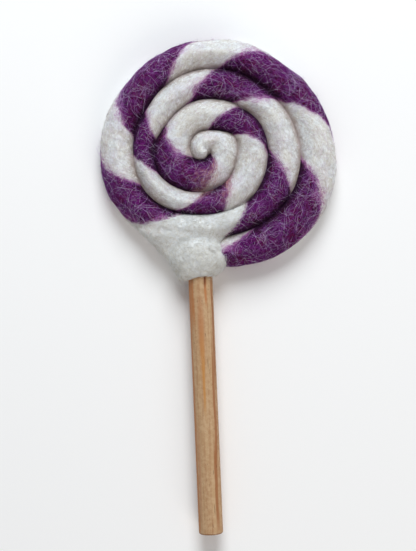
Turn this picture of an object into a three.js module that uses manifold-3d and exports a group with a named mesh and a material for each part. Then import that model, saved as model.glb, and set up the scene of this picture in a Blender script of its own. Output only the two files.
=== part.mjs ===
// A hand-felted wool lollipop, a toy. Two wool rovings, one purple and one
// off-white, are twisted round each other into a rope, and the rope is coiled
// flat, clockwise outwards, into a disc about 78 mm wide. A wad of off-white
// felt at the foot of the disc, the collar, wraps the top of an 8 mm wooden
// dowel. The toy lies on its back: its face looks up, +Z, and the dowel runs
// along -Y. Sizes are millimetres, and places are measured from the middle of
// the coil until the finished group is moved over its origin.
import * as THREE from 'three';
import { mergeVertices } from 'three/addons/utils/BufferGeometryUtils.js';
import Module from 'manifold-3d';

const GAP = 0.3; // between pieces that touch in the real toy

// Places along the rope are turns of the coil, counted clockwise from 12
// o'clock. Turn 0 is where the hook that the rope starts with is closed.
const TIP_TURN = -0.66;
const TIP_ROUNDING = 0.34; // turns over which the rope swells to its full size
const END_TURN = 3.468;
const END_ROUNDING = 0.045;
const TWELVE_O_CLOCK = 0.0067; // turns that 12 o'clock lies past +Y

// The rope is rolled by hand and uneven: its width at places along it.
const ROPE_WIDTHS = [
  [0, 6.4], [0.1, 7.6], [0.17, 9.4], [0.3, 8.7], [0.45, 10.4], [0.58, 12.2], [0.73, 13.1],
  [0.84, 10.2], [1.05, 10.4], [1.18, 9.5], [1.3, 10.4], [1.4, 9.8], [1.46, 8.6], [1.54, 7.3],
  [1.63, 7.1], [1.73, 6.0], [1.84, 7.9], [2.02, 10.1], [2.15, 9.4], [2.31, 10.6], [2.43, 7.8],
  [2.5, 8.1], [2.62, 10.9], [2.8, 11.2], [2.95, 9.9], [3.08, 10.8], [3.2, 11.5], [3.3, 12.8],
  [3.42, 12.3], [3.475, 10.4],
];
const HOOK_RADII = [[-1, 0.3], [-0.62, 1.8], [-0.45, 2.8], [-0.3, 4.8], [0, 6.7]];

const ROPE_THICKNESS = 11;
const ROPE_MIDDLE = 5.2; // the height of its middle; the underside is pressed flat
const MEAN_WIDTH = 9.6;
const FLATTENING = 0.2; // a wide stretch is thinner by this power of its width
const HOOK_THINNING = 0.14;
const ROPE_ROUNDNESS = 2 / 2.2; // power that squares the ellipse of its section

// The turns at which a border between the rovings crosses the top of the rope,
// from white to purple and back again, so half a twist apart. The hook shows
// little but the white roving, because it hardly twists.
const HOOK_TWISTS = [[TIP_TURN, -0.5], [-0.12, -0.5], [0.02, -0.56], [0.15, -0.5], [0.33, -0.46]];
const BORDERS_ON_TOP = [
  0.45, 0.76, 1.065, 1.2, 1.435, 1.54, 1.715, 1.81, 1.985, 2.115,
  2.29, 2.43, 2.595, 2.7, 2.805, 2.945, 3.05, 3.185, 3.295, 3.465,
];
const SEAM_DEPTH = 0.4; // the surface dips where the two rovings meet
const SEAM_REACH = 0.45; // radians round the section

const STICK_RADIUS = 4;
const STICK_LENGTH = 94.8;
const STICK_FOOT = -126.4; // its lower end, from the middle of the coil
const STICK_X = -3.94;
const STICK_Z = 6;
const STICK_BEVEL = 0.7;

// Sections of the collar across the dowel, from the coil down to its lower
// lip: y, left edge, right edge, top. The left edge runs straight down from
// the rim of the disc, and the underside is pressed flat.
const COLLAR_SECTIONS = [
  [-21.5, -24.5, -18, 7.0], [-23.1, -26.0, -14, 8.6], [-26, -23.3, -8, 8.8],
  [-28.6, -20.8, 2.2, 9.4], [-30.4, -19.1, 3.8, 11.3], [-33, -16.7, 4.7, 12.5],
  [-36.2, -13.7, 5.2, 12.6], [-38.6, -12.2, 3.4, 12.0], [-40.6, -10.8, 1.2, 11.2],
  [-42, -9.3, -0.1, 10.6],
];
const COLLAR_PRESSED = 0.4;
const COLLAR_ROUNDNESS = 2 / 2.5;
const COLLAR_SIDES = 24;

const STATION_STEP = 3; // between the sections of the rope
const STATION_TURN = 1 / 30; // and at most this much of a turn of the coil
const STATION_TWIST = 0.075; // and of a twist of the rope
const ROVING_SIDES = 8;

const wasm = await Module();
wasm.setup();

function smooth(rows) {
  const places = Float32Array.from(rows, ([place]) => place);
  const values = Float32Array.from(rows, ([, value]) => value);
  const curve = new THREE.CubicInterpolant(places, values, 1);
  return (place) => curve.evaluate(place)[0];
}

const widthAt = smooth(ROPE_WIDTHS);
const hookRadiusAt = smooth(HOOK_RADII);
const borderTwists = BORDERS_ON_TOP.map((turn, border) => [turn, border / 2 - 0.25]);
const twistsAt = smooth([...HOOK_TWISTS, ...borderTwists]);

// How far the outer side of the rope lies from the middle of the coil. Each
// turn lies against the turn before it.
function outerRadius(turn) {
  return turn <= 0 ? hookRadiusAt(turn) : outerRadius(turn - 1) + widthAt(turn);
}

function ropeAt(turn) {
  const inner = outerRadius(turn - 1);
  const outer = outerRadius(turn);
  const hook = 1 - THREE.MathUtils.smoothstep(turn, -0.3, 0.6);
  const stretch = (MEAN_WIDTH / Math.max(outer - inner, ROPE_THICKNESS / 2)) ** FLATTENING;
  return {
    radius: (inner + outer) / 2,
    halfWidth: (outer - inner) / 2,
    halfHeight: (ROPE_THICKNESS / 2) * stretch * (1 - HOOK_THINNING * hook),
    seam: -2 * Math.PI * twistsAt(turn), // the angle at which the purple half starts
  };
}

// What is left of the full section where the rope closes at its two ends.
function endScale(turn) {
  const tip = Math.min((turn - TIP_TURN) / TIP_ROUNDING, 1);
  const end = Math.min((END_TURN - turn) / END_ROUNDING, 1);
  return Math.sqrt(1 - 0.98 * (1 - tip) ** 2) * Math.sqrt(1 - 0.7 * (1 - end) ** 2);
}

const raise = (x, exponent) => Math.sign(x) * Math.abs(x) ** exponent;

// A point of the rope's surface in its cross-section, out from its middle and
// up. At a growth of 0 it dips at the seams and keeps off the next turn.
function sectionPoint(rope, angle, growth) {
  const fromSeam = Math.asin(Math.abs(Math.sin(angle - rope.seam)));
  const dip = growth > 0 ? -growth : SEAM_DEPTH * Math.exp(-((fromSeam / SEAM_REACH) ** 2));
  return new THREE.Vector2(
    (rope.halfWidth - GAP / 2 - dip) * raise(Math.cos(angle), ROPE_ROUNDNESS),
    (rope.halfHeight - dip) * raise(Math.sin(angle), ROPE_ROUNDNESS),
  );
}

function placeInCoil(turn, rope, point) {
  const clock = 2 * Math.PI * (turn + TWELVE_O_CLOCK);
  const distance = rope.radius + point.x;
  const height = Math.max(ROPE_MIDDLE + point.y, 0);
  return new THREE.Vector3(distance * Math.sin(clock), distance * Math.cos(clock), height);
}

// A closed skin over rings with the same number of points. A quad is split
// along its shorter diagonal, but those from flatFrom on all the same way, so
// that two faces that lie against each other are split alike.
function loft(rings, { inward = false, flatFrom = Infinity } = {}) {
  const sides = rings[0].length;
  const points = rings.flat();
  const index = [];
  const addFace = (a, b, c) => index.push(...(inward ? [a, c, b] : [a, b, c]));
  for (let ring = 0; ring < rings.length - 1; ring += 1) {
    for (let side = 0; side < sides; side += 1) {
      const a = ring * sides + side;
      const b = ring * sides + ((side + 1) % sides);
      const [c, d] = [b + sides, a + sides];
      if (side >= flatFrom || points[a].distanceTo(points[c]) < points[b].distanceTo(points[d])) {
        addFace(a, c, b);
        addFace(a, d, c);
      } else {
        addFace(a, d, b);
        addFace(b, d, c);
      }
    }
  }
  for (const first of [0, points.length - sides]) {
    const rim = points.slice(first, first + sides);
    const middle = rim.reduce((sum, point) => sum.addScaledVector(point, 1 / sides), new THREE.Vector3());
    const centre = points.push(middle) - 1;
    for (let side = 0; side < sides; side += 1) {
      const pair = [first + side, first + ((side + 1) % sides)];
      addFace(centre, ...(first ? pair.reverse() : pair));
    }
  }
  return new THREE.BufferGeometry().setFromPoints(points).setIndex(index);
}

function stations(from, to) {
  const turns = [];
  for (let turn = from; turn < to;) {
    turns.push(turn);
    const nearAnEnd = turn < TIP_TURN + TIP_ROUNDING || turn > END_TURN - END_ROUNDING;
    const twistRate = (twistsAt(turn + STATION_TURN / 2) - twistsAt(turn)) / (STATION_TURN / 2);
    const step = Math.min(
      STATION_STEP / (2 * Math.PI * ropeAt(turn).radius), STATION_TURN, STATION_TWIST / Math.abs(twistRate),
    );
    turn += nearAnEnd ? step / 2 : step;
  }
  return [...turns, to];
}

// One roving: the half of the rope on one side, +1 or -1, of a flat seam that
// turns along it.
function rovingGeometry(half) {
  const rings = stations(TIP_TURN, END_TURN).map((turn) => {
    const rope = ropeAt(turn);
    const offSeam = new THREE.Vector2(-Math.sin(rope.seam), Math.cos(rope.seam)).multiplyScalar(half);
    const ring = [];
    for (let side = 0; side <= ROVING_SIDES; side += 1) {
      const angle = rope.seam + (half * Math.PI * side) / ROVING_SIDES;
      const point = sectionPoint(rope, angle, 0).multiplyScalar(endScale(turn));
      ring.push(point.addScaledVector(offSeam, Math.max(0, GAP / 2 - point.dot(offSeam))));
    }
    ring.push(offSeam.clone().multiplyScalar(GAP / 2));
    return ring.map((point) => placeInCoil(turn, rope, point));
  });
  return loft(rings, { inward: half > 0, flatFrom: ROVING_SIDES });
}

// A stretch of the whole rope, grown by the gap, to cut the collar with.
function ropeCutter(from, to) {
  const sides = 2 * ROVING_SIDES;
  const rings = stations(from, to).map((turn) => {
    const rope = ropeAt(turn);
    return Array.from({ length: sides }, (_, side) => (
      placeInCoil(turn, rope, sectionPoint(rope, (-2 * Math.PI * side) / sides, GAP))
    ));
  });
  return loft(rings);
}

function dowelGeometry(radius, foot, top, bevel) {
  const profile = [[0, foot], [radius - bevel, foot], [radius, foot + bevel], [radius, top], [0, top]];
  return new THREE.LatheGeometry(profile.map(([r, y]) => new THREE.Vector2(r, y)), 24);
}

function wadGeometry() {
  const rings = COLLAR_SECTIONS.map(([y, left, right, top]) => (
    Array.from({ length: COLLAR_SIDES }, (_, side) => {
      const angle = (-2 * Math.PI * side) / COLLAR_SIDES;
      const across = ((right - left) / 2) * raise(Math.cos(angle), COLLAR_ROUNDNESS);
      const up = ((top + COLLAR_PRESSED) / 2) * raise(Math.sin(angle), COLLAR_ROUNDNESS);
      const height = (top - COLLAR_PRESSED) / 2 + up;
      return new THREE.Vector3((left + right) / 2 + across, y, Math.max(height, 0));
    })
  ));
  return loft(rings);
}

function toSolid(geometry) {
  const bare = geometry.clone();
  bare.deleteAttribute('normal');
  bare.deleteAttribute('uv');
  const merged = mergeVertices(bare);
  return new wasm.Manifold(new wasm.Mesh({
    numProp: 3,
    vertProperties: merged.attributes.position.array,
    triVerts: Uint32Array.from(merged.index.array),
  }));
}

function toGeometry(solid) {
  const { vertProperties, triVerts } = solid.getMesh();
  return new THREE.BufferGeometry()
    .setAttribute('position', new THREE.BufferAttribute(vertProperties, 3))
    .setIndex(new THREE.BufferAttribute(triVerts, 1));
}

function collarGeometry() {
  const stickTop = STICK_FOOT + STICK_LENGTH;
  const bore = dowelGeometry(STICK_RADIUS + GAP, stickTop - 2 * STICK_LENGTH, stickTop + GAP, GAP);
  return toGeometry(toSolid(wadGeometry())
    .subtract(toSolid(ropeCutter(2.3, 2.85)))
    .subtract(toSolid(bore.translate(STICK_X, 0, STICK_Z))));
}

const lollipop = new THREE.Group();

function addPiece(name, geometry, color, roughness) {
  const material = new THREE.MeshStandardMaterial({ color, roughness, metalness: 0 });
  const piece = new THREE.Mesh(geometry, material);
  piece.name = name;
  lollipop.add(piece);
  return piece;
}

addPiece('purple_strand', rovingGeometry(1), 0x5e1a63, 0.95);
addPiece('white_strand', rovingGeometry(-1), 0xd6d8d3, 0.95);
addPiece('collar', collarGeometry(), 0xdcdad0, 0.95);
const stick = dowelGeometry(STICK_RADIUS, STICK_FOOT, STICK_FOOT + STICK_LENGTH, STICK_BEVEL);
addPiece('stick', stick, 0xc79a6b, 0.6).position.set(STICK_X, 0, STICK_Z);

// The origin is the middle of the underside of the toy's box.
const box = new THREE.Box3().setFromObject(lollipop);
const middle = box.getCenter(new THREE.Vector3());
lollipop.position.set(-middle.x, -middle.y, -box.min.z);

export default lollipop;
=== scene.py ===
"""A hand-felted wool lollipop, a toy, lying on its back: its felt, its loose
fibres and the grain of its dowel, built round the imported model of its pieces.
Everything is in metres, in the frame that the model is in."""

import itertools
import math

import bmesh
import bpy
import numpy as np
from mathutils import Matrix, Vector


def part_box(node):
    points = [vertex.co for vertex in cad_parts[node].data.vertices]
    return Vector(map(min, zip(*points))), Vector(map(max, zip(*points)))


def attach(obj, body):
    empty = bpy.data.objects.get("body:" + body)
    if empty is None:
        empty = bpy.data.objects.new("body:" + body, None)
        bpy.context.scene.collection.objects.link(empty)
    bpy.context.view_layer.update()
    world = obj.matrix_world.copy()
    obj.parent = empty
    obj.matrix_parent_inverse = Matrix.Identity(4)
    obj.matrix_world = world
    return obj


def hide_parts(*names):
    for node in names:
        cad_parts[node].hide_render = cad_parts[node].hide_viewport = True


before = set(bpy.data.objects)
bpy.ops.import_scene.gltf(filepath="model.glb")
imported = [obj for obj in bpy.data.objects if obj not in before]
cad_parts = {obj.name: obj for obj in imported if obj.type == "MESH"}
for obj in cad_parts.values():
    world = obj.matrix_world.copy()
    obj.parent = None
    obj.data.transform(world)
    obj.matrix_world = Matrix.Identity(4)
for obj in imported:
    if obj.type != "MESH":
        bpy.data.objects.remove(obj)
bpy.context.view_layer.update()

# ---- The coil's place --------------------------------------------------------
# The dowel says where the coil is: its foot lies a set way below the middle of
# the coil and a little to the left of it.
MM = 0.001
DOWEL_LEFT_OF_COIL = 3.94 * MM
DOWEL_FOOT_BELOW_COIL = 126.4 * MM

dowel_low, dowel_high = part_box("stick")
coil_middle = Vector((
    (dowel_low[0] + dowel_high[0]) / 2 + DOWEL_LEFT_OF_COIL,
    dowel_low[1] + DOWEL_FOOT_BELOW_COIL,
    0,
))


# ---- The rope ----------------------------------------------------------------
# Two rovings of wool, one purple and one off-white, are rolled together by hand
# into a rope of uneven width. It starts with a small closed hook and is coiled
# flat, clockwise outwards, and needle felting holds each turn to the one inside.
class Wire:
    """One output in a node tree. Sums written with it add their Math nodes."""

    def __init__(self, draft, socket):
        self.draft = draft
        self.socket = socket

    def out(self, name):
        """Another output of the same node."""
        outputs = self.socket.node.outputs
        return Wire(self.draft, next(plug for plug in outputs if plug.enabled and plug.name == name))

    def sum(self, operation, *others):
        terms = dict(enumerate((self, *others)))
        return self.draft.add("ShaderNodeMath", {"operation": operation}, terms)

    def __add__(self, other):
        return self.sum("ADD", other)

    __radd__ = __add__

    def __sub__(self, other):
        return self.sum("SUBTRACT", other)

    def __rsub__(self, other):
        return (self * -1).sum("ADD", other)

    def __mul__(self, other):
        return self.sum("MULTIPLY", other)

    __rmul__ = __mul__

    def __truediv__(self, other):
        return self.sum("DIVIDE", other)

    def __rtruediv__(self, other):
        return self.sum("POWER", -1.0) * other

    def __pow__(self, other):
        return self.sum("POWER", other)

    def smooth(self, low, high):
        """0 up to low and 1 from high on, with a soft rise between them."""
        ends = {"Value": self, "From Min": low, "From Max": high}
        return self.draft.add("ShaderNodeMapRange", {"interpolation_type": "SMOOTHSTEP"}, ends)


class Draft:
    """A node tree that is being drawn up, one call for each node."""

    def __init__(self, tree):
        self.tree = tree

    def add(self, kind, settings=None, sockets=None, take=0):
        """Adds a node with its settings, then fills its sockets, and returns an output."""
        node = self.tree.nodes.new(kind)
        for name, value in (settings or {}).items():
            setattr(node, name, value)
        for name, value in (sockets or {}).items():
            socket = self.find(node.inputs, name)
            for wire in reversed(value) if isinstance(value, list) else [value]:
                if isinstance(wire, Wire):
                    self.tree.links.new(wire.socket, socket)
                else:
                    socket.default_value = wire
        outputs = [socket for socket in node.outputs if socket.enabled]
        return Wire(self, self.find(outputs, take)) if outputs else node

    @staticmethod
    def find(sockets, name):
        if isinstance(name, int):
            return sockets[name]
        return next(plug for plug in sockets if plug.enabled and name in (plug.name, plug.identifier))

    def vector(self, x=0.0, y=0.0, z=0.0):
        return self.add("ShaderNodeCombineXYZ", sockets={"X": x, "Y": y, "Z": z})

    def part(self, vector, axis):
        return self.add("ShaderNodeSeparateXYZ", sockets={"Vector": vector}, take=axis)

    def vectors(self, operation, *terms, take=0):
        """Vector maths: sums, products and lengths of whole vectors."""
        settings = {"operation": operation}
        return self.add("ShaderNodeVectorMath", settings, dict(enumerate(terms)), take)

    def scaled(self, vector, factor):
        return self.add("ShaderNodeVectorMath", {"operation": "SCALE"}, {0: vector, "Scale": factor})

    def moved(self, vector, other):
        return self.vectors("ADD", vector, other)

    def noise(self, vector, scale, detail=2.0, roughness=0.5, distortion=0.0, take=0):
        sockets = {"Vector": vector, "Scale": scale, "Detail": detail,
                   "Roughness": roughness, "Distortion": distortion}
        return self.add("ShaderNodeTexNoise", {}, sockets, take)

    def mix(self, factor, first, second):
        """One colour blended into another."""
        sockets = {"Factor": factor, "A": first, "B": second}
        return self.add("ShaderNodeMix", {"data_type": "RGBA"}, sockets)


class Shaper(Draft):
    """A Geometry Nodes tree with named inputs for its sizes."""

    def __init__(self, name, **sizes):
        super().__init__(bpy.data.node_groups.new(name, "GeometryNodeTree"))
        kinds = {int: "Int", float: "Float", bpy.types.Material: "Material", bpy.types.Object: "Object"}
        face = self.tree.interface
        face.new_socket("Geometry", in_out="INPUT", socket_type="NodeSocketGeometry")
        for size, value in sizes.items():
            face.new_socket(size, in_out="INPUT", socket_type="NodeSocket" + kinds[type(value)])
        face.new_socket("Geometry", in_out="OUTPUT", socket_type="NodeSocketGeometry")
        self.values = sizes
        self.inputs = self.tree.nodes.new("NodeGroupInput")

    def size(self, name):
        return Wire(self, self.inputs.outputs[name])

    def attribute(self, name, kind="FLOAT"):
        return self.add("GeometryNodeInputNamedAttribute", {"data_type": kind}, {"Name": name})

    def store(self, geometry, name, value, kind="FLOAT"):
        settings = {"data_type": kind, "domain": "POINT"}
        sockets = {"Geometry": geometry, "Name": name, "Value": value}
        return self.add("GeometryNodeStoreNamedAttribute", settings, sockets)

    def finish(self, geometry, material, *others):
        """Ends the tree in Realize Instances and Set Material. The others are pairs of
        a choice and the material of what it picks."""
        real = self.add("GeometryNodeRealizeInstances", sockets={"Geometry": geometry})
        for choice, wool in ((True, material), *others):
            sockets = {"Geometry": real, "Selection": choice, "Material": wool}
            real = self.add("GeometryNodeSetMaterial", sockets=sockets)
        self.tree.links.new(real.socket, self.tree.nodes.new("NodeGroupOutput").inputs[0])

    def make(self, name, mesh):
        """A plain mesh object: what the tree makes of a mesh with these sizes."""
        blank = bpy.data.objects.new(name, mesh)
        bpy.context.scene.collection.objects.link(blank)
        modifier = blank.modifiers.new("shape", "NODES")
        modifier.node_group = self.tree
        for item in self.tree.interface.items_tree:
            if item.in_out == "INPUT" and item.name in self.values:
                modifier[item.identifier] = self.values[item.name]
        graph = bpy.context.evaluated_depsgraph_get()
        result = bpy.data.meshes.new_from_object(blank.evaluated_get(graph), depsgraph=graph)
        blank.modifiers.clear()
        blank.data = result
        result.name = name
        return blank


def smooth_line(rows, places):
    """A smooth line through rows of (place, value), flat at both ends."""
    x, y = np.array(rows, float).T
    slope = np.diff(y) / np.diff(x)
    tangent = np.concatenate([[0], (slope[1:] + slope[:-1]) / 2, [0]])
    at = np.clip(np.searchsorted(x, places, side="right") - 1, 0, len(x) - 2)
    reach = x[at + 1] - x[at]
    p = np.clip((places - x[at]) / reach, 0, 1)
    return ((1 + 2 * p) * (1 - p) ** 2 * y[at] + p * (1 - p) ** 2 * reach * tangent[at]
            + p ** 2 * (3 - 2 * p) * y[at + 1] + p ** 2 * (p - 1) * reach * tangent[at + 1])


# Places along the rope are turns of the coil, counted clockwise from 12 o'clock.
# Turn 0 is where the hook is closed, and widths are millimetres.
TIP_TURN = -0.52
TIP_ROUNDING = 0.2
END_TURN = 3.5
END_ROUNDING = 0.045
END_BLUNTNESS = 0.85  # 1 would close the end to a point
ROUNDING_STATIONS = 26
TWELVE_O_CLOCK = 0.0067  # how far past it turn 0 lies
ROPE_WIDTHS = [
    (0, 6.4), (0.1, 7.6), (0.17, 9.4), (0.3, 8.7), (0.45, 10.4), (0.58, 12.2), (0.73, 13.1),
    (0.84, 10.2), (1.05, 10.4), (1.18, 9.5), (1.3, 10.4), (1.4, 9.8), (1.46, 8.6), (1.54, 7.3),
    (1.63, 7.1), (1.73, 6.0), (1.84, 7.9), (2.02, 10.1), (2.15, 9.4), (2.31, 10.6), (2.43, 7.8),
    (2.5, 8.1), (2.62, 10.9), (2.8, 11.2), (2.95, 9.9), (3.08, 10.5), (3.2, 11.4), (3.3, 12.5),
    (3.42, 11.8), (3.475, 9.7), (3.52, 8.6),
]
HOOK_RADII = [(-1, 0.3), (-0.62, 1.8), (-0.45, 2.8), (-0.3, 4.8), (0, 6.7)]
HOOK_TURNS = (-0.3, 0.6)  # over these the hook's ways give place to the coil's
HOOK_EASING = 13  # points on the curve of that change
HOOK_TWISTS = [(TIP_TURN, -0.5), (-0.12, -0.5), (0.02, -0.56), (0.15, -0.5), (0.33, -0.46)]
BORDERS_ON_TOP = [  # where one colour follows the other along the rope's top
    0.45, 0.76, 1.065, 1.2, 1.435, 1.54, 1.715, 1.81, 1.985, 2.115,
    2.29, 2.43, 2.595, 2.7, 2.805, 2.945, 3.05, 3.185, 3.295, 3.515,
]
TWIST_BUNCHING = 0.6  # how much quicker the rope twists where a border crosses its top
BUNCHING_STARTS = 0.4
BUNCHING_RISE = 0.2
ROPE_THICKNESS = 11.0
ROPE_MIDDLE = 5.2 * MM
MEAN_WIDTH = 9.6
FLATTENING = 0.2
HOOK_THINNING = 0.14
HOOK_CLOSING = 1.6  # how far the hook is squeezed past the coil's middle
OPEN_SIDE_RISE = 0.04  # the last turn's outer side has no neighbour, from this far into it
STATION_STEP = 0.4  # millimetres along the rope


def outer_radius(turn):
    """How far the rope's outer side lies from the coil's middle, in millimetres."""
    if turn <= 0:
        return float(smooth_line(HOOK_RADII, np.array(turn)))
    return outer_radius(turn - 1) + float(smooth_line(ROPE_WIDTHS, np.array(turn)))


def rope_turns():
    """The turns at which the rope is measured: closer together at its ends."""
    ease = 1 - np.cos(np.linspace(0, np.pi / 2, ROUNDING_STATIONS))
    tip = TIP_TURN + TIP_ROUNDING * ease
    end = END_TURN - END_ROUNDING * ease[::-1]
    turns, turn = [], tip[-1]
    while turn < end[0]:
        middle = (outer_radius(turn - 1) + outer_radius(turn)) / 2
        turn += STATION_STEP / (2 * math.pi * middle)
        turns.append(turn)
    return np.concatenate([tip, turns[:-1], end])


turns = rope_turns()
outer = np.array([outer_radius(turn) for turn in turns])
inner = np.array([outer_radius(turn - 1) for turn in turns])
hook = 1 - np.interp(turns, np.linspace(*HOOK_TURNS, HOOK_EASING),
                     [3 * p ** 2 - 2 * p ** 3 for p in np.linspace(0, 1, HOOK_EASING)])
stretch = (MEAN_WIDTH / np.maximum(outer - inner, ROPE_THICKNESS / 2)) ** FLATTENING
inner = inner - HOOK_CLOSING * hook
from_tip = np.clip((turns - TIP_TURN) / TIP_ROUNDING, 0, 1)
from_end = np.clip((END_TURN - turns) / END_ROUNDING, 0, 1)
borders = [(turn, n / 2 - 0.25) for n, turn in enumerate(BORDERS_ON_TOP)]
twists = smooth_line(HOOK_TWISTS + borders, turns)
bunch = TWIST_BUNCHING / (4 * np.pi) * np.clip((turns - BUNCHING_STARTS) / BUNCHING_RISE, 0, 1)
twists = twists + bunch * np.sin(4 * np.pi * (twists - 0.25))
middle_radius = (inner + outer) / 2
rope_columns = {
    "clock": 2 * np.pi * (turns + TWELVE_O_CLOCK),
    "radius": middle_radius * MM,
    "half width": (outer - inner) / 2 * MM,
    "half height": ROPE_THICKNESS / 2 * stretch * (1 - HOOK_THINNING * hook) * MM,
    "seam": -2 * np.pi * twists,
    "fullness": np.sqrt(1 - (1 - from_tip) ** 2) * np.sqrt(1 - END_BLUNTNESS * (1 - from_end) ** 2),
    "along": np.concatenate([[0], np.cumsum(np.diff(turns) * 2 * np.pi * middle_radius[1:])]) * MM,
    "open side": np.clip((turns - END_TURN + 1) / OPEN_SIDE_RISE, 0, 1),
}
rope_columns["fullness"][-1] = 0
rope_stations = bpy.data.meshes.new("rope stations")
rope_stations.from_pydata([coil_middle] * len(turns), [], [])
for column, values in rope_columns.items():
    attribute = rope_stations.attributes.new(column, "FLOAT", "POINT")
    attribute.data.foreach_set("value", values.astype(np.float32))

SEAMS_APART = 7.0  # noise steps, so that the rope's two seams stray each in its own way
FLOOR_EASE = 1.5 * MM  # wool this near the table is pressed smooth
NUDGE = 0.0001  # keeps a rounding down from falling short of a whole number
WELD = 2e-6  # points of a roving closer than this are one


def swept_roving(shaper):
    """A roving's smooth skin, from one seam round to the other, along the rope's stations."""
    size, stations = shaper.size, shaper.size("Geometry")
    count = shaper.add("GeometryNodeAttributeDomainSize", {"component": "MESH"},
                       {"Geometry": stations}, "Point Count")
    columns = size("Sides") + 2.0
    grid = shaper.add("GeometryNodeMeshGrid", sockets={"Vertices X": count, "Vertices Y": columns})
    index = shaper.add("GeometryNodeInputIndex")
    station = (index / columns + NUDGE).sum("FLOOR")
    side = (index - station * columns).sum("FLOORED_MODULO", size("Sides") + 1.0)
    part = side / size("Sides")

    def at_station(name):
        sockets = {"Geometry": stations, "Value": shaper.attribute(name), "Index": station}
        settings = {"data_type": "FLOAT", "domain": "POINT"}
        return shaper.add("GeometryNodeSampleIndex", settings, sockets)

    along = at_station("along")

    def seam_wander(seam):
        """How far a seam strays round the rope. Both rovings ask for it alike."""
        place = shaper.vector(along / size("WanderSize"), seam * SEAMS_APART, 0.0)
        return (shaper.noise(place, 1.0, 3.0, 0.6) - 0.5) * size("Wander")

    from_middle = (part - 0.5) * (size("Overlap") * 2.0 + math.pi)
    phase = (size("Half") + 0.5) * math.pi + from_middle
    stray = seam_wander(size("Half")) * (1.0 - part) + seam_wander(1.0 - size("Half")) * part
    angle = at_station("seam") + phase + stray
    off_middle = from_middle.sum("ABSOLUTE")
    from_seam = (math.pi / 2 - off_middle).sum("ABSOLUTE")
    beyond = (off_middle - math.pi / 2).sum("MAXIMUM", 0.0)
    near = (from_seam / size("SeamReach")) ** 2.0
    dip = (near * -1.0).sum("EXPONENT") * size("SeamDepth") + beyond * size("Tuck")
    outwards, upwards = angle.sum("COSINE"), angle.sum("SINE")

    def rounded(wave):
        """How far out or up the section reaches there, by its roundness: 1 is an oval."""
        return wave.sum("SIGN") * wave.sum("ABSOLUTE") ** size("Roundness")

    fullness = at_station("fullness")
    shut = 1.0 - outwards.sum("GREATER_THAN", 0.0) * at_station("open side")
    out = (at_station("half width") + size("Lap") * shut - dip) * rounded(outwards) * fullness
    up = (at_station("half height") - dip) * rounded(upwards) * fullness
    clock, distance = at_station("clock"), at_station("radius") + out
    height = (size("Middle") + up).sum("MAXIMUM", 0.0)
    place = shaper.vector(distance * clock.sum("SINE"), distance * clock.sum("COSINE"), height)
    shaped = shaper.add("GeometryNodeSetPosition", sockets={
        "Geometry": grid, "Position": shaper.moved(place, tuple(coil_middle))})

    # Where a point lies in the wool: along the roving, and round it from its seam.
    lie = shaper.vector(along, size("Middle") * phase.sum("COSINE"), size("Middle") * phase.sum("SINE"))
    laid = shaper.store(shaped, "lie", lie, "FLOAT_VECTOR")
    # How far down a turn's side a point faces, none on the open outer side: it sets where shade is painted
    # in the creases and where hairs thin out.
    laid = shaper.store(laid, "crease", (1.0 - upwards.sum("MAXIMUM", 0.0)) * shut)
    where = shaper.add("GeometryNodeInputPosition")
    ahead = shaper.add("GeometryNodeFieldAtIndex", {"data_type": "FLOAT_VECTOR", "domain": "POINT"},
                       {"Value": where, "Index": index + columns})
    grain = shaper.vectors("NORMALIZE", shaper.vectors("SUBTRACT", ahead, where))
    laid = shaper.store(laid, "grain", grain, "FLOAT_VECTOR")
    merged = shaper.add("GeometryNodeMergeByDistance", sockets={"Geometry": laid, "Distance": WELD})
    return shaper.add("GeometryNodeFlipFaces", sockets={"Mesh": merged})


def roving_shaper(half, material):
    """Half of the rope: half 0 is the purple roving and half 1 the white one."""
    shaper = Shaper(
        "roving", Sides=44, Half=half, Overlap=0.14, Lap=0.8 * MM, Roundness=1.3,
        SeamDepth=0.3 * MM, SeamReach=0.35, Tuck=4 * MM, Middle=ROPE_MIDDLE,
        Wander=0.5, WanderSize=3.0 * MM, LumpSize=5.0 * MM, LumpDepth=0.9 * MM,
        MatSize=1.1 * MM, MatDepth=0.22 * MM, Wool=material,
    )
    size = shaper.size
    skin = swept_roving(shaper)
    where = shaper.add("GeometryNodeInputPosition")
    lumps = shaper.noise(where, 1 / size("LumpSize"), 2.0) - 0.5
    mats = shaper.noise(where, 1 / size("MatSize"), 3.0, 0.6, 0.6) - 0.5
    off_floor = shaper.part(where, "Z").smooth(0.0, FLOOR_EASE)
    relief = (lumps * size("LumpDepth") + mats * size("MatDepth")) * off_floor
    normal = shaper.add("GeometryNodeInputNormal")
    felted = shaper.add("GeometryNodeSetPosition", sockets={
        "Geometry": skin, "Offset": shaper.scaled(normal, relief)})
    smooth = shaper.add("GeometryNodeSetShadeSmooth", sockets={"Geometry": felted})
    shaper.finish(smooth, size("Wool"))
    return shaper


def dye(red, green, blue):
    """A colour as a screen shows it, from 0 to 255, turned into shares of light."""
    def light(part):
        share = part / 255
        return share / 12.92 if share <= 0.04045 else ((share + 0.055) / 1.055) ** 2.4
    return (light(red), light(green), light(blue), 1.0)


# Each wool's crease colour is painted shade. It is laid down the sides of a turn, where shade falls
# between turns, and its fall keeps it to the deeper part.
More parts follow.
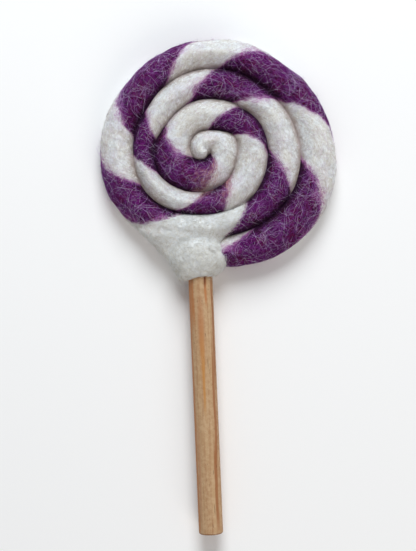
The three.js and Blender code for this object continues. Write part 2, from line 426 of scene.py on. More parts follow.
PURPLE_WOOL = {
    "base": dye(90, 9, 84), "patch": dye(86, 1, 32), "deep": dye(24, 3, 19),
    "fibre": dye(120, 44, 128), "crease": dye(20, 6, 17), "crease shade fall": 0.6,
    "pits": 0.95, "fibres": 0.45, "flecks": 0.75,
}
WHITE_WOOL = {
    "base": dye(216, 220, 222), "patch": dye(213, 211, 205), "deep": dye(180, 170, 160),
    "fibre": dye(243, 246, 248), "crease": dye(172, 156, 154), "crease shade fall": 2.4,
    "pits": 0.3, "fibres": 0.8, "flecks": 0.42,
}
STRAND_GRAIN = (400.0, 1900.0, 1900.0)  # how fine the wool is along a roving and across it
WISP_GRAIN = (330.0, 1500.0, 1500.0)  # and where it strays over a seam
NARROWEST_BLEND = 0.8 * MM  # how far a seam's mixed fibres reach to either side
WIDEST_BLEND = 2.9 * MM
BLEND_PINK = dye(168, 92, 160)
BLEND_LILAC = dye(200, 178, 212)
RUST = dye(190, 130, 130)  # a smear of reddish wool at one seam near the middle
RUST_PLACE = coil_middle + Vector((1.3, -10.6, 9)) * MM
RUST_REACH = 9.5 * MM
RUST_CORE = 0.45 * RUST_REACH
RUST_SMEAR = 2.8 * MM


def finish_draft(name):
    """A new material and the draft of its nodes."""
    material = bpy.data.materials.new(name)
    material.use_nodes = True
    material.node_tree.nodes.clear()
    return material, Draft(material.node_tree)


def wool_colour(felt, wool, fields):
    """One dyed wool: patches of shade, pits between its fibres, and lighter fibres."""
    colour = felt.mix(fields["patches"], wool["base"], wool["patch"])
    colour = felt.mix(fields["pits"] * wool["pits"], colour, wool["deep"])
    colour = felt.mix(fields["fibres"] * wool["fibres"], colour, wool["fibre"])
    for flecks, shade in ((fields["flecks"], "fibre"), (fields["flecks"] * -1.0, "deep")):
        colour = felt.mix(flecks.smooth(0.0, 0.32) * wool["flecks"], colour, wool[shade])
    return colour


def wool_surface(felt, colour, grain, strength, depth, sheen, tint):
    """Ends a wool's nodes in a dull surface, raised by its grain, with a soft sheen."""
    bump = felt.add("ShaderNodeBump", sockets={"Strength": strength, "Distance": depth, "Height": grain})
    shader = felt.add("ShaderNodeBsdfPrincipled", sockets={
        "Base Color": colour, "Roughness": 0.95, "Normal": bump, "Specular IOR Level": 0.12,
        "Sheen Weight": sheen, "Sheen Roughness": 0.5, "Sheen Tint": tint})
    felt.add("ShaderNodeOutputMaterial", sockets={"Surface": shader})


def roving_felt(name, sheen, tint):
    """Matted wool whose fibres run with the roving and mix with the other colour at a seam; painted shade
    darkens the sides of each turn.
    """
    material, felt = finish_draft(name)
    lie = felt.add("ShaderNodeAttribute", {"attribute_name": "lie"}, take="Vector")
    crease = felt.add("ShaderNodeAttribute", {"attribute_name": "crease"}, take="Fac")
    here = felt.add("ShaderNodeTexCoord", take="Object")
    wander = felt.noise(here, 300.0, 2.0, 0.5, take="Color")

    def combed(fineness, straying, *noise):
        """Noise drawn out along the fibres, which wander a little."""
        stretched = felt.vectors("MULTIPLY", lie, fineness)
        return felt.noise(felt.moved(stretched, felt.scaled(wander, straying)), 1.0, *noise)

    strand = combed(STRAND_GRAIN, 2.4, 4.0, 0.7, 0.4)
    fields = {
        "patches": felt.noise(here, 150.0, 3.0, 0.6).smooth(0.44, 0.56),
        "pits": felt.noise(here, 640.0, 4.0, 0.7, 1.0).smooth(0.46, 0.6),
        "fibres": strand.smooth(0.5, 0.64),
        "flecks": felt.noise(here, 1300.0, 3.0, 0.75, 0.8) * 2.0 - 1.0,
    }
    # Painted shade: down the sides of each turn, where shade falls between turns, the colour darkens
    # towards the wool's crease colour, a little unevenly.
    shade_unevenness = felt.noise(here, 420.0, 3.0, 0.6)
    shade = (crease + (shade_unevenness - 0.5) * 0.4).smooth(0.1, 0.5) * 0.9

    def shaded(wool):
        return felt.mix(shade ** wool["crease shade fall"], wool_colour(felt, wool, fields), wool["crease"])

    # Fibres of each colour stray over the seam, in places further than in others.
    wisps = combed(WISP_GRAIN, 3.0, 3.0, 0.75, 0.6)
    stray = (wisps - 0.5) * 4.0 + (felt.noise(here, 330.0, 3.0, 0.6) - 0.5) * 2.4
    widening = felt.noise(here, 130.0, 1.0).smooth(0.35, 0.68) * (1.0 - crease.smooth(0.05, 0.35))
    reach = widening * (WIDEST_BLEND - NARROWEST_BLEND) + NARROWEST_BLEND
    from_rust = felt.vectors("DISTANCE", here, tuple(RUST_PLACE), take="Value")
    rust = from_rust.smooth(RUST_REACH, RUST_CORE)
    from_seam = felt.part(lie, "Z") / (reach + rust * RUST_SMEAR) + stray
    lilac = (from_seam + 1.5).sum("ABSOLUTE").smooth(1.6, 0.0)
    stain = from_seam.sum("ABSOLUTE").smooth(1.3, 0.0)
    colour = felt.mix(from_seam.smooth(-0.8, 0.7), shaded(WHITE_WOOL), shaded(PURPLE_WOOL))
    colour = felt.mix(lilac * 0.16, colour, BLEND_LILAC)
    colour = felt.mix(stain * (0.75 - rust * 0.15), colour, felt.mix(rust, BLEND_PINK, RUST))

    grain = strand * 0.6 + felt.noise(here, 1500.0, 4.0, 0.7, 0.5) * 0.4
    wool_surface(felt, colour, grain, strength=0.7, depth=0.3 * MM, sheen=sheen, tint=tint)
    return material


purple_felt = roving_felt("purple felt", 0.36, dye(158, 90, 186))
purple_roving = roving_shaper(0.0, purple_felt).make("purple_felt_roving", rope_stations)
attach(purple_roving, "root")
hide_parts("purple_strand")

white_felt = roving_felt("white felt", 0.5, dye(240, 240, 238))
white_roving = roving_shaper(1.0, white_felt).make("white_felt_roving", rope_stations)
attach(white_roving, "root")
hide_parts("white_strand")

# ---- The collar --------------------------------------------------------------
# More off-white wool is felted round the top of the dowel into a knob, and drawn
# out into a web that covers the lowest turn of the rope and holds the dowel to it.
# Rows are (y, left, right, height) in millimetres from the coil's middle.
KNOB_ROWS = [
    (-28.3, -6.0, -3.0, 9), (-28.9, -8.6, -0.8, 10.6), (-29.9, -11.2, 1.4, 11.5),
    (-31.4, -13.2, 3.8, 12.3), (-33.4, -14.2, 5.0, 12.7), (-36, -13.9, 5.3, 12.7),
    (-38.6, -12.9, 4.2, 12.1), (-40.4, -12.0, 2.4, 11.2), (-41.6, -11.4, 0.6, 10.0),
    (-42.4, -10.6, -1.6, 7.5),
]
WEB_ROWS = [
    (-21.8, -24.0, -19, 2.5), (-22.8, -24.8, -8, 6.0), (-24.0, -24.7, 4.0, 8.8),
    (-25.4, -23.6, 6.4, 10.3), (-27.2, -22.0, 5.8, 10.8), (-28.8, -20.5, 4.9, 10.5),
    (-30.5, -19.0, 4.2, 10.1), (-33, -16.8, 4.0, 9.7), (-36.2, -13.9, 3, 9.4),
    (-38.5, -12.2, 2, 8.4),
]
COLLAR_STEP = 0.6  # millimetres between sections
COLLAR_SIDES = 40
KNOB_CURVE = 2 / 2.1  # a section's shape: 1 is an oval, and less is squarer
WEB_CURVE = 2 / 3
BAND_TURNS = (2.395, 2.66)  # the stripe that the web is drawn over, as turns of the coil
BAND_SWELL = 0.45 * MM
BAND_SINK = 0.4  # how far its rim sinks into the rope, as a share of the swell
BAND_CROWN = 0.7
BAND_RIM = 3.2 * MM
COLLAR_VOXEL = 0.3 * MM
COLLAR_SOFTENING = 26  # rounds of smoothing, which melt the shells' seams away
WRINKLE_LIE = (0.5, 1.6, 1.0)  # wrinkles run across the dowel
COLLAR_WOOL = {
    "base": dye(240, 246, 251), "patch": dye(238, 241, 241), "deep": dye(168, 163, 154),
    "fibre": dye(250, 251, 252), "pits": 0.45, "fibres": 0.85, "flecks": 0.45,
}
COLLAR_GRAIN = (260.0, 1100.0, 900.0)
KNOB_TOP = coil_middle.y - 29 * MM
LUMPY_BELOW = coil_middle.y - 33 * MM
CREAMY_BELOW = coil_middle.y - 34 * MM
KNOB_CREAM = dye(243, 240, 226)
CORNER_SIDE = coil_middle.x - 13 * MM
CORNER_TIP = coil_middle.x - 22 * MM
CORNER_BEIGE = dye(204, 186, 182)


def skin_over(mesh, rings):
    """Joins a row of rings with quads and closes both ends onto a middle point."""
    points = [mesh.verts.new(sum(rings[0], Vector()) / len(rings[0]))]
    loops = [[mesh.verts.new(point) for point in ring] for ring in rings]
    points.append(mesh.verts.new(sum(rings[-1], Vector()) / len(rings[-1])))
    for near, far in zip(loops, loops[1:]):
        for n in range(len(near)):
            mesh.faces.new((near[n - 1], near[n], far[n], far[n - 1]))
    for n in range(len(rings[0])):
        mesh.faces.new((points[0], loops[0][n], loops[0][n - 1]))
        mesh.faces.new((points[1], loops[-1][n - 1], loops[-1][n]))


def collar_rings(rows, curve):
    """Flat-bottomed rounded sections, drawn smoothly through the rows."""
    rows = sorted(rows)
    places = np.arange(rows[0][0], rows[-1][0], COLLAR_STEP)
    left, right, top = (smooth_line([(row[0], row[column]) for row in rows], places)
                        for column in (1, 2, 3))
    rings = []
    for y, low, high, height in zip(places, left, right, top):
        ring = []
        for angle in np.linspace(0, 2 * math.pi, COLLAR_SIDES, endpoint=False):
            across = math.copysign(abs(math.cos(angle)) ** curve, math.cos(angle))
            up = math.copysign(abs(math.sin(angle)) ** curve, math.sin(angle))
            x, z = (low + high + across * (high - low)) / 2, (1 + up) * height / 2
            ring.append(coil_middle + Vector((x, y, z)) * MM)
        rings.append(ring)
    return rings


def add_band(mesh):
    """A length of the white roving, swollen a little except where it meets the purple."""
    start, stop = np.interp(BAND_TURNS, turns, rope_columns["along"])
    band = bmesh.new()
    band.from_mesh(white_roving.data)
    lie = band.verts.layers.float_vector["lie"]
    beyond = [vert for vert in band.verts if not start < vert[lie].x < stop]
    bmesh.ops.delete(band, geom=beyond, context="VERTS")
    bmesh.ops.holes_fill(band, edges=[edge for edge in band.edges if edge.is_boundary])
    band.normal_update()
    for vert in band.verts:
        from_end = min(vert[lie].x - start, stop - vert[lie].x)
        inside = min(1, max(0, -vert[lie].z) / BAND_RIM) * min(1, from_end / BAND_RIM)
        vert.co += vert.normal * (BAND_SWELL * ((1 + BAND_SINK) * inside ** BAND_CROWN - BAND_SINK))
    length = bpy.data.meshes.new("band")
    band.to_mesh(length)
    band.free()
    mesh.from_mesh(length)


def collar_shaper(material):
    """The welded collar with the lumps and wrinkles of its matted wool."""
    shaper = Shaper(
        "collar", LumpSize=6 * MM, LumpDepth=0.7 * MM, WrinkleSize=3.0 * MM, WrinkleDepth=0.2 * MM,
        WrinkleBend=5 * MM, MatSize=1.1 * MM, MatDepth=0.05 * MM, Wool=material,
    )
    size = shaper.size
    where = shaper.add("GeometryNodeInputPosition")
    swirl = shaper.noise(where, 1 / size("LumpSize"), 2.0, take="Color")
    bent = shaper.moved(where, shaper.scaled(swirl, size("WrinkleBend")))
    flat = shaper.vectors("MULTIPLY", bent, WRINKLE_LIE)
    lumps = shaper.noise(where, 1 / size("LumpSize"), 2.0) - 0.5
    wrinkles = shaper.noise(flat, 1 / size("WrinkleSize"), 2.0, 0.5) - 0.5
    mats = shaper.noise(where, 1 / size("MatSize"), 3.0, 0.6, 0.6) - 0.5
    on_knob = shaper.part(where, "Y").smooth(KNOB_TOP, LUMPY_BELOW)
    relief = ((lumps * size("LumpDepth") + wrinkles * size("WrinkleDepth")) * on_knob
              + mats * size("MatDepth"))
    off_floor = shaper.part(where, "Z").smooth(0.0, FLOOR_EASE)
    normal = shaper.add("GeometryNodeInputNormal")
    felted = shaper.add("GeometryNodeSetPosition", sockets={
        "Geometry": size("Geometry"), "Offset": shaper.scaled(normal, relief * off_floor)})
    place = shaper.vector(*(shaper.part(where, axis) for axis in "XY"),
                          shaper.part(where, "Z").sum("MAXIMUM", 0.0))
    rested = shaper.add("GeometryNodeSetPosition", sockets={"Geometry": felted, "Position": place})
    smooth = shaper.add("GeometryNodeSetShadeSmooth", sockets={"Geometry": rested})
    shaper.finish(smooth, size("Wool"))
    return shaper


def welded(name, mesh):
    """Overlapping closed shells made one by a fine remesh, with their seams smoothed."""
    rough = bpy.data.meshes.new(name)
    mesh.to_mesh(rough)
    mesh.free()
    blank = bpy.data.objects.new(name, rough)
    bpy.context.scene.collection.objects.link(blank)
    weld = blank.modifiers.new("weld", "REMESH")
    weld.mode = "VOXEL"
    weld.voxel_size = COLLAR_VOXEL
    soften = blank.modifiers.new("soften", "SMOOTH")
    soften.factor = 0.5
    soften.iterations = COLLAR_SOFTENING
    graph = bpy.context.evaluated_depsgraph_get()
    result = bpy.data.meshes.new_from_object(blank.evaluated_get(graph), depsgraph=graph)
    bpy.data.objects.remove(blank)
    return result


def collar_felt():
    """Off-white matted wool with fine swirling fibres, creamier on the knob and
    beige at the web's outer corner."""
    material, felt = finish_draft("collar felt")
    here = felt.add("ShaderNodeTexCoord", take="Object")
    swirl = felt.noise(here, 160.0, 2.0, 0.5, take="Color")
    bent = felt.moved(felt.vectors("MULTIPLY", here, COLLAR_GRAIN), felt.scaled(swirl, 7.0))
    strand = felt.noise(bent, 1.0, 4.0, 0.7, 0.4)
    fields = {
        "patches": felt.noise(here, 180.0, 3.0, 0.6).smooth(0.38, 0.62),
        "pits": felt.noise(here, 900.0, 3.0, 0.65, 0.8).smooth(0.45, 0.65),
        "fibres": strand.smooth(0.48, 0.62),
        "flecks": felt.noise(here, 1300.0, 3.0, 0.75, 0.8) * 2.0 - 1.0,
    }
    colour = wool_colour(felt, COLLAR_WOOL, fields)
    knob = felt.part(here, "Y").smooth(KNOB_TOP, CREAMY_BELOW)
    colour = felt.mix(knob * 0.5, colour, KNOB_CREAM)
    corner = (felt.part(here, "X") + (strand - 0.5) * (6 * MM)).smooth(CORNER_SIDE, CORNER_TIP)
    colour = felt.mix(corner * 0.7, colour, CORNER_BEIGE)
    grain = strand * 0.7 + felt.noise(here, 1500.0, 4.0, 0.7, 0.5) * 0.3
    wool_surface(felt, colour, grain, strength=0.8, depth=0.4 * MM, sheen=0.3, tint=dye(240, 240, 236))
    return material


collar_wool = collar_felt()
shells = bmesh.new()
skin_over(shells, collar_rings(KNOB_ROWS, KNOB_CURVE))
skin_over(shells, collar_rings(WEB_ROWS, WEB_CURVE))
add_band(shells)
bmesh.ops.recalc_face_normals(shells, faces=shells.faces)
collar = collar_shaper(collar_wool).make("felt_collar", welded("collar shells", shells))
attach(collar, "root")
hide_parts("collar")

# ---- The loose fibres --------------------------------------------------------
# Fibres that the felting needle didn't catch lie over the wool in loose curls.
# Long pale and violet ones show on the purple, and a fine fuzz covers all the wool.
TUFT_SIZE = 4.5 * MM  # the hairs stand thicker in tufts of about this size
CREASE_THINNING = 0.3  # they thin out over this share of a crease's depth
DRAWS_KEPT = 100.0  # seeds kept for each piece, more than one hair's random values
SOME_ABOVE = 0.5  # a hair's draw, from 0 to 1, gives it the main tone up to here
FEW_ABOVE = 0.82  # and the second tone up to here
CREASE_SHADE_ABOVE = 0.3  # deeper in a crease than this, a hair takes the crease tone, a painted shade
FIBRE_WELD = 1e-6  # closes a hair's tips


def hair_roots(shaper):
    """Roots over one felt piece, each with its own hair's size, lie, curl and tone."""
    size = shaper.size
    draws = itertools.count()

    def draw(low, high, kind="FLOAT"):
        """A random value for each hair, even between low and high."""
        sockets = {"Min": low, "Max": high, "Seed": size("Seed") * DRAWS_KEPT + float(next(draws))}
        return shaper.add("FunctionNodeRandomValue", {"data_type": kind}, sockets)

    upwards = shaper.part(shaper.add("GeometryNodeInputNormal"), "Z")
    tufts = shaper.noise(shaper.add("GeometryNodeInputPosition"), 1 / TUFT_SIZE, 2.0)
    deep = shaper.attribute("crease").smooth(size("Deepest") - CREASE_THINNING, size("Deepest"))
    roots = shaper.add("GeometryNodeDistributePointsOnFaces", {"distribute_method": "RANDOM"}, {
        "Mesh": size("Geometry"), "Seed": size("Seed"),
        "Density": size("Density") * upwards.smooth(-0.6, 0.2) * tufts.smooth(0.12, 0.66) * (1.0 - deep)})
    normal = roots.out("Normal")
    anyhow = shaper.vectors("NORMALIZE", draw((-1, -1, -1), (1, 1, 1), "FLOAT_VECTOR"))
    combed = shaper.scaled(shaper.attribute("grain", "FLOAT_VECTOR"), size("Comb"))
    wish = shaper.moved(anyhow, combed)
    side = shaper.vectors("NORMALIZE", shaper.vectors("CROSS_PRODUCT", normal, wish))
    heading = shaper.vectors("CROSS_PRODUCT", side, normal)
    facts = {
        "root": (shaper.add("GeometryNodeInputPosition"), "FLOAT_VECTOR"),
        "side": (side, "FLOAT_VECTOR"),
        "heading": (heading, "FLOAT_VECTOR"),
        "reach": (size("Length") * draw(0.35, 1.0), "FLOAT"),
        "loop": (size("Curl") * draw(0.0, 1.0) ** 3.0, "FLOAT"),
        "wind": (size("Turns") * draw(-1.0, 1.0) * draw(0.2, 1.0), "FLOAT"),
        "phase": (draw(0.0, 2 * math.pi), "FLOAT"),
        "bend": (draw(-0.8, 0.8), "FLOAT"),
        "loose": (size("Lift") + size("Fly") * draw(0.0, 1.0) ** 2.0, "FLOAT"),
        "width": (size("Thickness") * draw(0.55, 1.0), "FLOAT"),
        "tone": (draw(0.0, 1.0), "FLOAT"),
        "depth": (shaper.attribute("crease"), "FLOAT"),
    }
    for name, (value, kind) in facts.items():
        roots = shaper.store(roots, name, value, kind)
    return roots


def curled_hairs(shaper, roots, far):
    """A hair through each root, curled flat over the wool. Far is -0.5 to 0.5 along it."""
    line = shaper.add("GeometryNodeResampleCurve", sockets={
        "Curve": shaper.add("GeometryNodeCurvePrimitiveLine"), "Count": shaper.size("Points")})
    rooted = shaper.add("GeometryNodeInstanceOnPoints", sockets={"Points": roots, "Instance": line})
    hairs = shaper.add("GeometryNodeRealizeInstances", sockets={"Geometry": rooted})
    reach, loop, phase = (shaper.attribute(name) for name in ("reach", "loop", "phase"))
    turn = phase + shaper.attribute("wind") * far * (2 * math.pi)
    ahead = reach * far + loop * (turn.sum("COSINE") - phase.sum("COSINE"))
    aside = (loop * (turn.sum("SINE") - phase.sum("SINE"))
             + reach * shaper.attribute("bend") * far * far)
    place = shaper.moved(
        shaper.attribute("root", "FLOAT_VECTOR"),
        shaper.moved(shaper.scaled(shaper.attribute("heading", "FLOAT_VECTOR"), ahead),
                     shaper.scaled(shaper.attribute("side", "FLOAT_VECTOR"), aside)))
    return shaper.add("GeometryNodeSetPosition", sockets={"Geometry": hairs, "Position": place})


def pressed_hairs(shaper, hairs):
    """The hairs held near the wool, but clear of it, of its neighbours and of the table."""
    size = shaper.size
    wool = [shaper.add("GeometryNodeObjectInfo", sockets={"Object": size(name)}, take="Geometry")
            for name in ("Purple", "White", "Collar")]
    around = shaper.add("GeometryNodeJoinGeometry", sockets={"Geometry": wool})

    def nearest(field):
        sockets = {"Mesh": around, "Value": shaper.add(field)}
        return shaper.add("GeometryNodeSampleNearestSurface", {"data_type": "FLOAT_VECTOR"}, sockets)

    skin, outwards = nearest("GeometryNodeInputPosition"), nearest("GeometryNodeInputNormal")
    where = shaper.add("GeometryNodeInputPosition")
    above = shaper.vectors("DOT_PRODUCT", shaper.vectors("SUBTRACT", where, skin), outwards, take="Value")
    held = above.sum("MAXIMUM", size("Lift")).sum("MINIMUM", shaper.attribute("loose"))
    rest = shaper.moved(skin, shaper.scaled(outwards, held))
    above_floor = shaper.vector(shaper.part(rest, "X"), shaper.part(rest, "Y"),
                                shaper.part(rest, "Z").sum("MAXIMUM", size("Lift")))
    return shaper.add("GeometryNodeSetPosition", sockets={"Geometry": hairs, "Position": above_floor})


def fibre_shaper(seed, density, points, length, curl, turns, comb, lift, fly, thickness, deepest, tones):
    """Curly hairs over one felt piece. Lift is how close to the wool they lie at least,
    fly how far off it a few get, and deepest how far down a crease they still grow."""
    most, some, few, crease_shade = tones
    shaper = Shaper(
        "loose fibres", Seed=seed, Density=density, Points=points, Length=length, Curl=curl,
        Turns=turns, Comb=comb, Lift=lift, Fly=fly, Thickness=thickness, Deepest=deepest,
        Purple=purple_roving, White=white_roving, Collar=collar,
        Most=most, Some=some, Few=few, Steep=crease_shade,
    )
    size = shaper.size
    far = shaper.add("GeometryNodeSplineParameter") - 0.5
    pressed = pressed_hairs(shaper, curled_hairs(shaper, hair_roots(shaper), far))
    taper = (1.0 - (far * 2.0) ** 2.0).sum("MAXIMUM", 0.0).sum("SQRT")
    circle = shaper.add("GeometryNodeCurvePrimitiveCircle", sockets={"Resolution": 3, "Radius": 1.0})
    tubes = shaper.add("GeometryNodeCurveToMesh", sockets={
        "Curve": pressed, "Profile Curve": circle, "Scale": shaper.attribute("width") * taper})
    closed = shaper.add("GeometryNodeMergeByDistance", sockets={"Geometry": tubes, "Distance": FIBRE_WELD})
    smooth = shaper.add("GeometryNodeSetShadeSmooth", sockets={"Geometry": closed})
    tone, depth = shaper.attribute("tone"), shaper.attribute("depth")
    # A hair deep in a crease takes the last tone, painted shade where shade falls.
    shaper.finish(smooth, size("Most"), (tone.sum("GREATER_THAN", SOME_ABOVE), size("Some")),
                  (tone.sum("GREATER_THAN", FEW_ABOVE), size("Few")),
                  (depth.sum("GREATER_THAN", CREASE_SHADE_ABOVE), size("Steep")))
    return shaper


def fibre_finish(name, colour):
    """One loose fibre's even colour, with the dull shine of clean wool."""
    material = bpy.data.materials.new(name)
    material.use_nodes = True
    shader = material.node_tree.nodes["Principled BSDF"]
    shader.inputs["Base Color"].default_value = colour
    shader.inputs["Roughness"].default_value = 0.6
    shader.inputs["Specular IOR Level"].default_value = 0.25
    return material


# The two used only for hairs deep in a crease, a dark plum-grey and a taupe, are painted shade.
FIBRE_DYES = {
    "pale lilac": dye(236, 216, 250), "lilac": dye(178, 132, 200), "violet": dye(128, 48, 140),
    "plum": dye(100, 24, 102), "dusky": dye(74, 34, 66), "white": dye(246, 248, 249),
    "warm white": dye(216, 209, 198), "cream": dye(240, 240, 235), "oat": dye(214, 209, 196),
    "blush": dye(214, 196, 212), "taupe": dye(184, 170, 160),
}
finishes = {name: fibre_finish(name + " fibre", colour) for name, colour in FIBRE_DYES.items()}

# Each piece's name, wool and slot, then its tones: most, some, few, and a painted shade
# for those deep in the creases. The rest is what fibre_shaper takes.
FIBRES = [
    ("purple_long_fibres", purple_roving, "purple_felt", ("violet", "lilac", "pale lilac", "dusky"), dict(
        seed=1, density=1.12e6, points=9, length=8.5 * MM, curl=2.0 * MM, turns=1.1, comb=0.4,
        lift=0.12 * MM, fly=1.6 * MM, thickness=0.032 * MM, deepest=0.5)),
    ("purple_short_fibres", purple_roving, "purple_felt", ("violet", "plum", "pale lilac", "dusky"), dict(
        seed=5, density=2.0e6, points=6, length=4.2 * MM, curl=1.6 * MM, turns=1.1, comb=0.3,
        lift=0.06 * MM, fly=1.0 * MM, thickness=0.03 * MM, deepest=0.55)),
    ("purple_fuzz", purple_roving, "purple_felt", ("plum", "violet", "plum", "dusky"), dict(
        seed=2, density=2.6e6, points=5, length=3.0 * MM, curl=1.0 * MM, turns=0.7, comb=0.6,
        lift=0.03 * MM, fly=0.6 * MM, thickness=0.036 * MM, deepest=0.9)),
    ("white_fuzz", white_roving, "white_felt", ("white", "warm white", "blush", "taupe"), dict(
        seed=3, density=2.45e6, points=5, length=4.8 * MM, curl=0.8 * MM, turns=0.6, comb=0.7,
        lift=0.02 * MM, fly=1.3 * MM, thickness=0.047 * MM, deepest=0.95)),
    ("collar_fuzz", collar, "collar_felt", ("white", "cream", "oat", "white"), dict(
        seed=4, density=5.0e6, points=8, length=7.5 * MM, curl=2.4 * MM, turns=0.8, comb=0.0,
        lift=0.04 * MM, fly=2.0 * MM, thickness=0.058 * MM, deepest=0.9)),
]
for name, wool, slot, tones, build in FIBRES:
    shaper = fibre_shaper(tones=[finishes[tone] for tone in tones], **build)
    fibres = shaper.make(name, wool.data)
    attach(fibres, "root")

# ---- The dowel ---------------------------------------------------------------
# A length of softwood dowel, sanded and left bare, with its foot sawn off square
# and the edge there rubbed round. Its top is pushed into the knob.
DOWEL_RADIUS = (dowel_high[0] - dowel_low[0]) / 2
DOWEL_SIDES = 64
DOWEL_STEP = 1.2 * MM
FOOT_ROUNDING = 0.7 * MM
FOOT_RINGS = 6
CHIP_START = -0.6  # the angle round the dowel where a small chip in the foot's edge starts
CHIP_DEPTH = 0.55 * MM
CHIP_REACH = 0.9 * MM


def dowel_rings():
    """Rings from the foot up, nearly true, with the foot's edge rubbed round."""
    ease = 1 - np.cos(np.linspace(0, math.pi / 2, FOOT_RINGS))
    foot = [(dowel_low[1] + FOOT_ROUNDING * p,
             DOWEL_RADIUS - FOOT_ROUNDING * (1 - math.sqrt(1 - (1 - p) ** 2))) for p in ease]
    shaft = [(y, DOWEL_RADIUS) for y in np.arange(foot[-1][0] + DOWEL_STEP, dowel_high[1], DOWEL_STEP)]
    rings = []
    for y, radius in foot + shaft:
        ring = []
        for angle in np.linspace(0, 2 * math.pi, DOWEL_SIDES, endpoint=False):
            round_from_chip = (angle - CHIP_START) % (2 * math.pi) * DOWEL_RADIUS
            from_chip = math.hypot(round_from_chip, y - dowel_low[1])
            left = radius - CHIP_DEPTH * math.exp(-(from_chip / CHIP_REACH) ** 2)
            x = (dowel_low[0] + dowel_high[0]) / 2 + left * math.cos(angle)
            z = (dowel_low[2] + dowel_high[2]) / 2 + left * math.sin(angle)
            ring.append(Vector((x, y, z)))
        rings.append(ring)
    return rings


# Each shade has its strength and its streaks. A streak is (distance from the dowel's
# middle line, half width, start, end, fade at its ends), in millimetres from the foot.
STREAKS = [
    (dye(150, 88, 44), 0.75, [(2.5, 0.75, 2, 30, 6), (2.9, 0.55, 22, 62, 8), (3.5, 0.4, 50, 84, 6)]),
    # In this shade, the streak at -3.7 runs the dowel's whole length as a thin brown line near its left
    # edge.
    (dye(178, 112, 62), 0.8, [(-2.9, 0.9, 70, 86, 5), (1.6, 0.55, 76, 90, 2), (-3.7, 0.45, 0, 90, 4)]),
    (dye(188, 128, 62), 0.8, [(-0.4, 1.1, 55, 71, 8), (-0.2, 0.6, 42, 58, 5)]),
    (dye(176, 118, 84), 0.5, [(-0.6, 1.6, 62, 76, 8), (-2.8, 0.6, 6, 34, 10)]),
    (dye(104, 54, 30), 0.85, [(1.5, 0.5, 82, 90, 1.5)]),
    (dye(112, 82, 52), 0.6, [(1.6, 0.2, 7, 10, 1), (1.7, 0.18, 20, 21.5, 0.5), (1.3, 0.2, 55, 58, 1)]),
]
PALE_WOOD = dye(190, 156, 117)
TAN_WOOD = dye(172, 131, 94)
WORN_WOOD = dye(206, 176, 140)
GRAIN_BROWN = dye(160, 114, 76)
PORE_BROWN = dye(104, 72, 44)
SAWN_BROWN = dye(128, 84, 54)


def dowel_wood():
    """Tan softwood with long fine grain, pale worn places, darker streaks, small pores
    and a soiled sawn foot."""
    material, wood = finish_draft("dowel wood")
    here = wood.add("ShaderNodeTexCoord", take="Object")
    from_foot = wood.moved(here, (-(dowel_low[0] + dowel_high[0]) / 2, -dowel_low[1],
                                  -(dowel_low[2] + dowel_high[2]) / 2))
    x, y = wood.part(from_foot, "X"), wood.part(from_foot, "Y")

    def figure(fineness, *noise):
        """Noise drawn out along the dowel."""
        return wood.noise(wood.vectors("MULTIPLY", from_foot, fineness), 1.0, *noise)

    drift = (wood.noise(from_foot, 60.0, 2.0) - 0.5) * MM
    rings = figure((900.0, 12.0, 500.0), 3.0, 0.6, 0.3)
    grain = figure((3200.0, 60.0, 3200.0), 3.0, 0.7)
    pores = figure((1800.0, 420.0, 1800.0), 2.0, 0.6)
    mottle = wood.noise(from_foot, 700.0, 4.0, 0.75)

    def streak(middle, width, low, high, fade):
        """A stripe up the dowel: 1 on its line, 0 away from it and past its ends."""
        across = 1.0 - (x + drift - middle * MM).sum("ABSOLUTE").smooth(width * 0.3 * MM, width * MM)
        start = y.smooth((low - fade) * MM, (low + fade) * MM)
        return across * start * (1.0 - y.smooth((high - fade) * MM, (high + fade) * MM))

    colour = wood.mix(rings.smooth(0.35, 0.65), PALE_WOOD, TAN_WOOD)
    colour = wood.mix(mottle.smooth(0.4, 0.62) * 0.5, colour, WORN_WOOD)
    colour = wood.mix(grain.smooth(0.5, 0.7) * 0.45, colour, GRAIN_BROWN)
    for shade, strength, lines in STREAKS:
        for line in lines:
            colour = wood.mix(streak(*line) * strength, colour, shade)
    colour = wood.mix(pores.smooth(0.66, 0.74) * 0.55, colour, PORE_BROWN)
    sawn = 1.0 - (y + (mottle - 0.5) * 0.6 * MM).smooth(0.2 * MM, 0.7 * MM)
    colour = wood.mix(sawn * 0.7, colour, SAWN_BROWN)
    height = grain * 0.6 + rings * 0.4
    bump = wood.add("ShaderNodeBump", sockets={"Strength": 0.35, "Distance": 0.12 * MM, "Height": height})
    shader = wood.add("ShaderNodeBsdfPrincipled", sockets={
        "Base Color": colour, "Roughness": 0.62, "Normal": bump, "Specular IOR Level": 0.3})
    wood.add("ShaderNodeOutputMaterial", sockets={"Surface": shader})
    return material


shell = bmesh.new()
skin_over(shell, dowel_rings())
bmesh.ops.recalc_face_normals(shell, faces=shell.faces)
dowel_mesh = bpy.data.meshes.new("turned_dowel")
shell.to_mesh(dowel_mesh)
shell.free()
dowel_mesh.shade_smooth()
dowel_mesh.materials.append(dowel_wood())
dowel = bpy.data.objects.new("turned_dowel", dowel_mesh)
bpy.context.scene.collection.objects.link(dowel)
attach(dowel, "root")
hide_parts("stick")

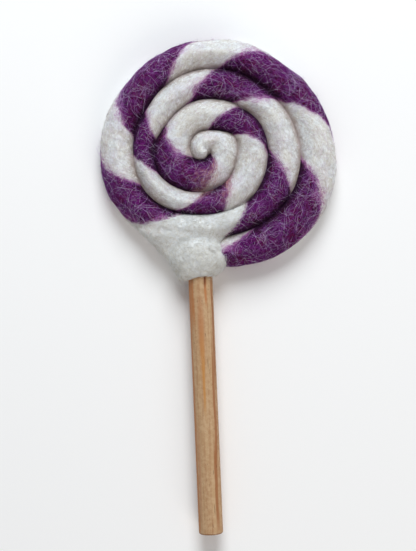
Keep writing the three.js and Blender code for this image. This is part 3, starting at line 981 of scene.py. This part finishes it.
# ---- The table, light and camera ---------------------------------------------
# The toy lies on a plain pale table. A large soft light stands past the top of the
# disc, with a weaker, warmer one across from it. The camera looks straight down,
# turned a little.
TABLE_HALF = 3.0
TABLE_TOP = -0.2 * MM  # just clear of the wool
TABLE_CORNERS = ((-1, -1), (1, -1), (1, 1), (-1, 1))
table_mesh = bpy.data.meshes.new("table")
table_mesh.from_pydata(
    [(x * TABLE_HALF, y * TABLE_HALF, TABLE_TOP) for x, y in TABLE_CORNERS], [], [(0, 1, 2, 3)])
table = bpy.data.objects.new("table", table_mesh)
bpy.context.scene.collection.objects.link(table)
table_finish = bpy.data.materials.new("table white")
table_finish.use_nodes = True
table_shader = table_finish.node_tree.nodes["Principled BSDF"]
table_shader.inputs["Base Color"].default_value = (0.96, 0.96, 0.96, 1)
table_shader.inputs["Roughness"].default_value = 0.9
table_mesh.materials.append(table_finish)


def soft_light(name, place, target, width, power, colour):
    """A round area light, turned to its target."""
    lamp = bpy.data.lights.new(name, "AREA")
    lamp.shape = "DISK"
    lamp.size = width
    lamp.energy = power
    lamp.color = colour
    stand = bpy.data.objects.new(name, lamp)
    stand.location = place
    stand.rotation_euler = (Vector(target) - Vector(place)).to_track_quat("-Z", "Y").to_euler()
    bpy.context.scene.collection.objects.link(stand)


soft_light("window", place=(0.04, 0.72, 0.6), target=(0, 0.02, 0),
           width=0.55, power=8.1, colour=(0.93, 0.975, 1.0))
soft_light("fill", place=(0.3, -0.7, 0.5), target=(0, 0, 0),
           width=0.6, power=2.5, colour=(1.0, 0.9, 0.81))
world = bpy.data.worlds.new("room")
world.use_nodes = True
room_light = world.node_tree.nodes["Background"]
room_light.inputs["Color"].default_value = (0.96, 0.97, 1.0, 1)
room_light.inputs["Strength"].default_value = 0.3
bpy.context.scene.world = world
bpy.context.scene.view_settings.view_transform = "Standard"

LENS = 85.0
VIEW_HEIGHT = 182.2 * MM  # how much of the table the view takes in, from top to bottom
VIEW_PLANE = 6 * MM  # at this height, near the middle of the rope
VIEW_FROM_COIL = Vector((-1.39, -41.14, 0)) * MM
CAMERA_TURN = math.radians(-2.4)
lens = bpy.data.cameras.new("camera")
lens.lens = LENS
lens.clip_start = 0.01
camera = bpy.data.objects.new("camera", lens)
camera_height = VIEW_PLANE + VIEW_HEIGHT * LENS / lens.sensor_width
camera.location = coil_middle + VIEW_FROM_COIL + Vector((0, 0, camera_height))
camera.rotation_euler = (0, 0, CAMERA_TURN)
bpy.context.scene.collection.objects.link(camera)
bpy.context.scene.camera = camera
